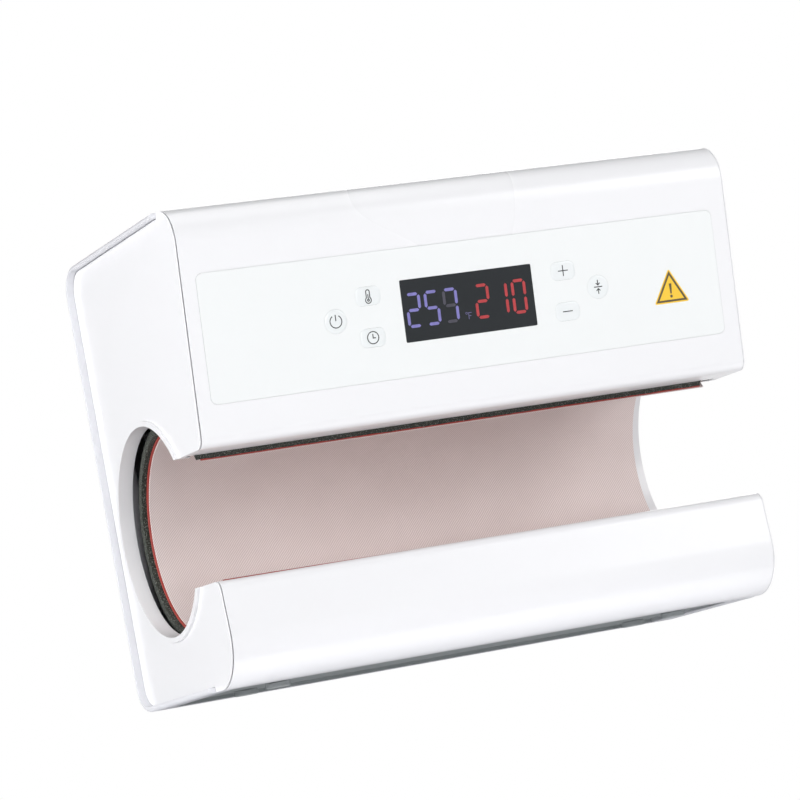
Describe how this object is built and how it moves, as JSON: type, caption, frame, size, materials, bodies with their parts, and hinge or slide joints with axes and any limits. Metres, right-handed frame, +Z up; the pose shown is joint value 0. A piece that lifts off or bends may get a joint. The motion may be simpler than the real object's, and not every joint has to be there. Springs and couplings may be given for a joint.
{
  "type": "mug heat press",
  "caption": "Long white mug heat press: a front-slotted tunnel lined with a heater mat, a motor-closed upper jaw, end caps, and a leaning control panel with a display and keys.",
  "frame": {"origin": "middle of the housing, on the plane that the feet stand on", "axes": "+X along the mug tunnel towards the right end cap, -Y towards the control panel, +Z up"},
  "size_m": [0.345, 0.1822, 0.2625],
  "materials": {
    "white_shell": "smooth white moulded ABS, satin gloss",
    "overlay_film": "glossy white control film",
    "smoked_window": "gloss smoked display window",
    "badge_yellow": "printed yellow film",
    "mat_sheet": "pinkish beige woven glass cloth",
    "silicone_red": "brick red silicone sheet",
    "foam_grey": "dark grey-green open foam",
    "base_grey": "fine textured grey plastic",
    "rubber_foot": "matt rubber",
    "zinc_steel": "zinc-plated sheet steel",
    "motor_steel": "turned steel",
    "brass_nut": "machined brass",
    "board_green": "green circuit board",
    "part_black": "black moulded plastic",
    "winding_yellow": "taped winding"
  },
  "bodies": {
    "housing": {"base_plate": "base_grey", "base_screw_front_left": "zinc_steel", "base_screw_front_right": "zinc_steel", "base_screw_rear_left": "zinc_steel", "base_screw_rear_right": "zinc_steel", "closed_limit_switch": "part_black", "control_board": "board_green", "control_overlay": "overlay_film", "cradle_plate": "zinc_steel", "display_module": "part_black", "display_window": "smoked_window", "electronics_tray": "zinc_steel", "foot_front_left": "rubber_foot", "foot_front_right": "rubber_foot", "foot_rear_left": "rubber_foot", "foot_rear_right": "rubber_foot", "gearmotor": "motor_steel", "heater_mat_fixed": "silicone_red", "heater_relay": "part_black", "hinge_rod": "motor_steel", "insulation_fixed": "foam_grey", "left_end_cap": "white_shell", "left_side_frame": "zinc_steel", "lower_front_cover": "white_shell", "lower_tie_bar": "zinc_steel", "mains_inlet": "part_black", "mat_cover_fixed": "mat_sheet", "motor_bracket": "zinc_steel", "open_limit_switch": "part_black", "power_board": "board_green", "rear_shell": "white_shell", "rear_tie_bar": "zinc_steel", "right_end_cap": "white_shell", "right_side_frame": "zinc_steel", "terminal_block": "part_black", "thermal_cutout": "part_black", "thermistor": "brass_nut", "transformer": "winding_yellow", "upper_front_cover": "white_shell", "warning_badge": "badge_yellow"},
    "jaw": {"jaw_plate": "zinc_steel", "left_jaw_lug": "zinc_steel", "right_jaw_lug": "zinc_steel", "mat_cover_jaw": "mat_sheet", "heater_mat_jaw": "silicone_red", "insulation_jaw": "foam_grey"},
    "screw": {"motor_shaft": "motor_steel", "motor_coupling": "motor_steel", "lead_screw": "motor_steel"},
    "carriage": {"nut_carriage": "brass_nut"},
    "key_clamp_body": {"key_clamp": "overlay_film"},
    "key_minus_body": {"key_minus": "overlay_film"},
    "key_plus_body": {"key_plus": "overlay_film"},
    "key_power_body": {"key_power": "overlay_film"},
    "key_temperature_body": {"key_temperature": "overlay_film"},
    "key_timer_body": {"key_timer": "overlay_film"}
  },
  "joints": [
    {"name": "jaw_close", "type": "hinge", "parent": "housing", "child": "jaw", "pos_m": [0, 0.0436, 0.15562], "axis": [1, 0, 0], "range_deg": [0, 12]},
    {"name": "screw_spin", "type": "hinge", "parent": "housing", "child": "screw", "pos_m": [0, -0.02, 0.18], "axis": [0, 0, 1], "range_deg": [0, 606]},
    {"name": "carriage_slide", "type": "slide", "parent": "housing", "child": "carriage", "axis": [0, 0, -1], "range_m": [0, 0.0136]},
    {"name": "key_clamp_press", "type": "slide", "parent": "housing", "child": "key_clamp_body", "axis": [0, 0.9889, 0.1487], "range_m": [0, 0.0005], "stiffness_N_per_m": 1500},
    {"name": "key_minus_press", "type": "slide", "parent": "housing", "child": "key_minus_body", "axis": [0, 0.9889, 0.1487], "range_m": [0, 0.0005], "stiffness_N_per_m": 1500},
    {"name": "key_plus_press", "type": "slide", "parent": "housing", "child": "key_plus_body", "axis": [0, 0.9889, 0.1487], "range_m": [0, 0.0005], "stiffness_N_per_m": 1500},
    {"name": "key_power_press", "type": "slide", "parent": "housing", "child": "key_power_body", "axis": [0, 0.9889, 0.1487], "range_m": [0, 0.0005], "stiffness_N_per_m": 1500},
    {"name": "key_temperature_press", "type": "slide", "parent": "housing", "child": "key_temperature_body", "axis": [0, 0.9889, 0.1487], "range_m": [0, 0.0005], "stiffness_N_per_m": 1500},
    {"name": "key_timer_press", "type": "slide", "parent": "housing", "child": "key_timer_body", "axis": [0, 0.9889, 0.1487], "range_m": [0, 0.0005], "stiffness_N_per_m": 1500}
  ],
  "couplings": [
    {"joint": "carriage_slide", "follows": "jaw_close", "m_per_rad": 0.0642},
    {"joint": "screw_spin", "follows": "jaw_close", "ratio": 50.423}
  ]
}
